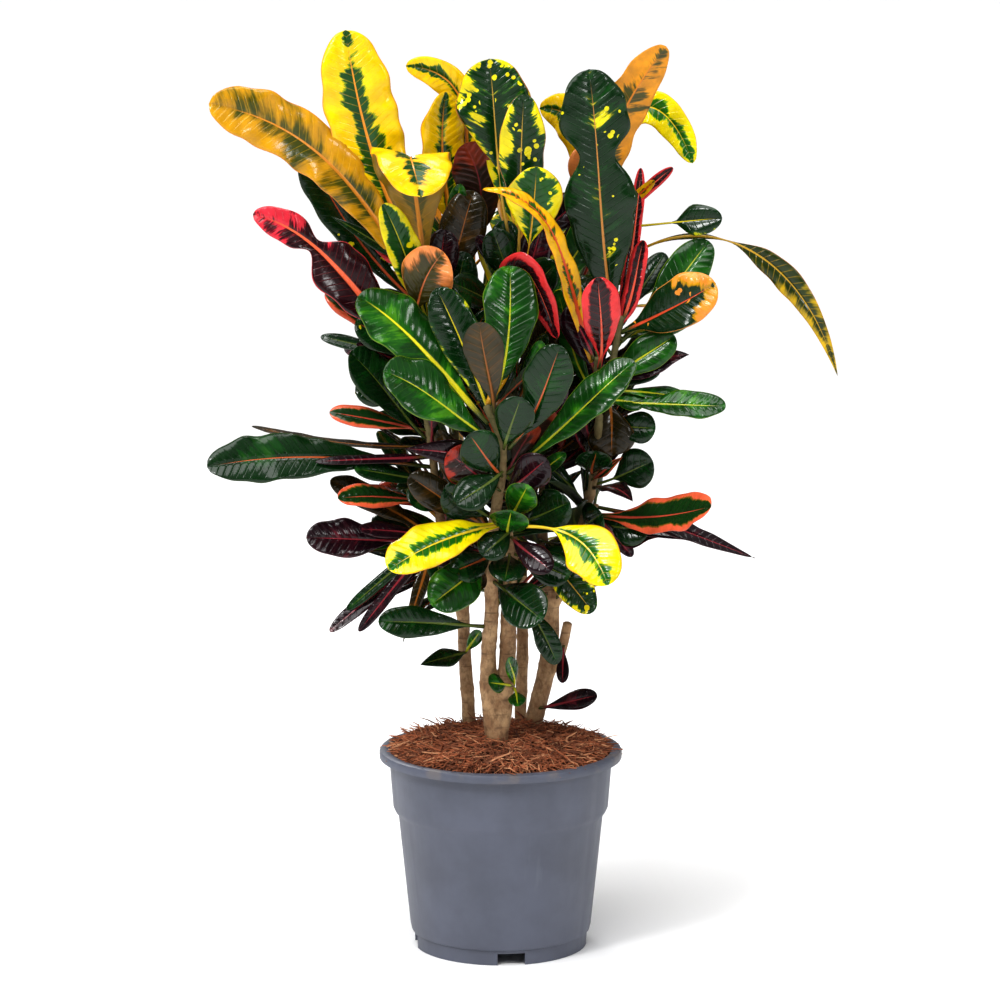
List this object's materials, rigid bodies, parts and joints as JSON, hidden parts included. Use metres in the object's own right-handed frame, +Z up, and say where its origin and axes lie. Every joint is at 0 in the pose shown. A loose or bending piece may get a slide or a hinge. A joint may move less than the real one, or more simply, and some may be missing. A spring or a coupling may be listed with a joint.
{
  "type": "potted croton",
  "caption": "Potted croton: spoon-shaped yellow, green and red leaves on woody stems rooted in a coir-topped nursery pot with a rolled lip.",
  "frame": {"origin": "centre of the pad under the pot, on the pot's axis, on the surface that the pot stands on", "axes": "+Z up along the pot's axis; -Y is the front of the plant, +X its right side seen from the front"},
  "size_m": [0.609, 0.3926, 0.903],
  "materials": {
    "pot_plastic": "satin",
    "soil": "matte",
    "coir": "matte",
    "bark": "matte",
    "leaf_sun": "satin",
    "leaf_gold": "satin",
    "leaf_spotted": "satin",
    "leaf_deep": "satin",
    "leaf_plum": "satin",
    "leaf_ember": "satin",
    "leaf_fresh": "satin",
    "leaf_edged": "satin",
    "leaf_salmon": "satin",
    "leaf_bronze": "satin"
  },
  "bodies": {
    "root": {"pot": "pot_plastic", "soil": "soil", "coir_topping": "coir", "stem_front": "bark", "stem_left": "bark", "stem_right": "bark", "stem_back": "bark", "leaf_crown_yellow": "leaf_sun", "leaf_cupped_gold": "leaf_gold", "leaf_arch_olive": "leaf_gold", "leaf_round_spotted": "leaf_spotted", "leaf_round_front": "leaf_spotted", "leaf_tall_pinched": "leaf_deep", "leaf_gold_diagonal": "leaf_gold", "leaf_droop_bright": "leaf_sun", "leaf_upright_banded": "leaf_sun", "leaf_curled_tip": "leaf_sun", "leaf_green_blotched": "leaf_spotted", "leaf_twisted_orange": "leaf_gold", "leaf_left_spotted": "leaf_deep", "leaf_maroon_upright": "leaf_plum", "leaf_red_young": "leaf_ember", "leaf_green_right": "leaf_fresh", "leaf_yellow_tipped": "leaf_edged", "leaf_plum_pointed": "leaf_plum", "leaf_far_right_droop": "leaf_fresh", "leaf_salmon_round": "leaf_salmon", "leaf_green_margined": "leaf_sun", "leaf_red_left": "leaf_ember", "leaf_bright_ribbed": "leaf_fresh", "leaf_green_glossy": "leaf_deep", "leaf_green_centre": "leaf_fresh", "leaf_red_hooked": "leaf_ember", "leaf_red_curl": "leaf_ember", "leaf_bronze_upright": "leaf_bronze", "leaf_big_green": "leaf_fresh", "leaf_red_ribbed": "leaf_deep", "leaf_long_right": "leaf_fresh", "leaf_dark_left": "leaf_deep", "leaf_brown_strap": "leaf_bronze", "leaf_long_left": "leaf_deep", "leaf_salmon_edged": "leaf_edged", "leaf_plum_spoon": "leaf_plum", "leaf_bright_low_left": "leaf_sun", "leaf_bright_low_right": "leaf_sun", "leaf_low_green": "leaf_fresh", "leaf_low_round": "leaf_deep", "leaf_right_plum": "leaf_plum", "leaf_pink_edged": "leaf_edged", "leaf_mid_right_green": "leaf_fresh", "leaf_low_dark": "leaf_deep", "leaf_low_spotted": "leaf_spotted", "leaf_dark_strap": "leaf_plum", "leaf_hanging_dark": "leaf_deep", "leaf_back_high": "leaf_gold", "leaf_back_crown": "leaf_sun", "leaf_back_right_high": "leaf_fresh", "leaf_back_right_low": "leaf_deep", "leaf_back_left_low": "leaf_deep", "leaf_back_low": "leaf_plum"}
  },
  "joints": []
}
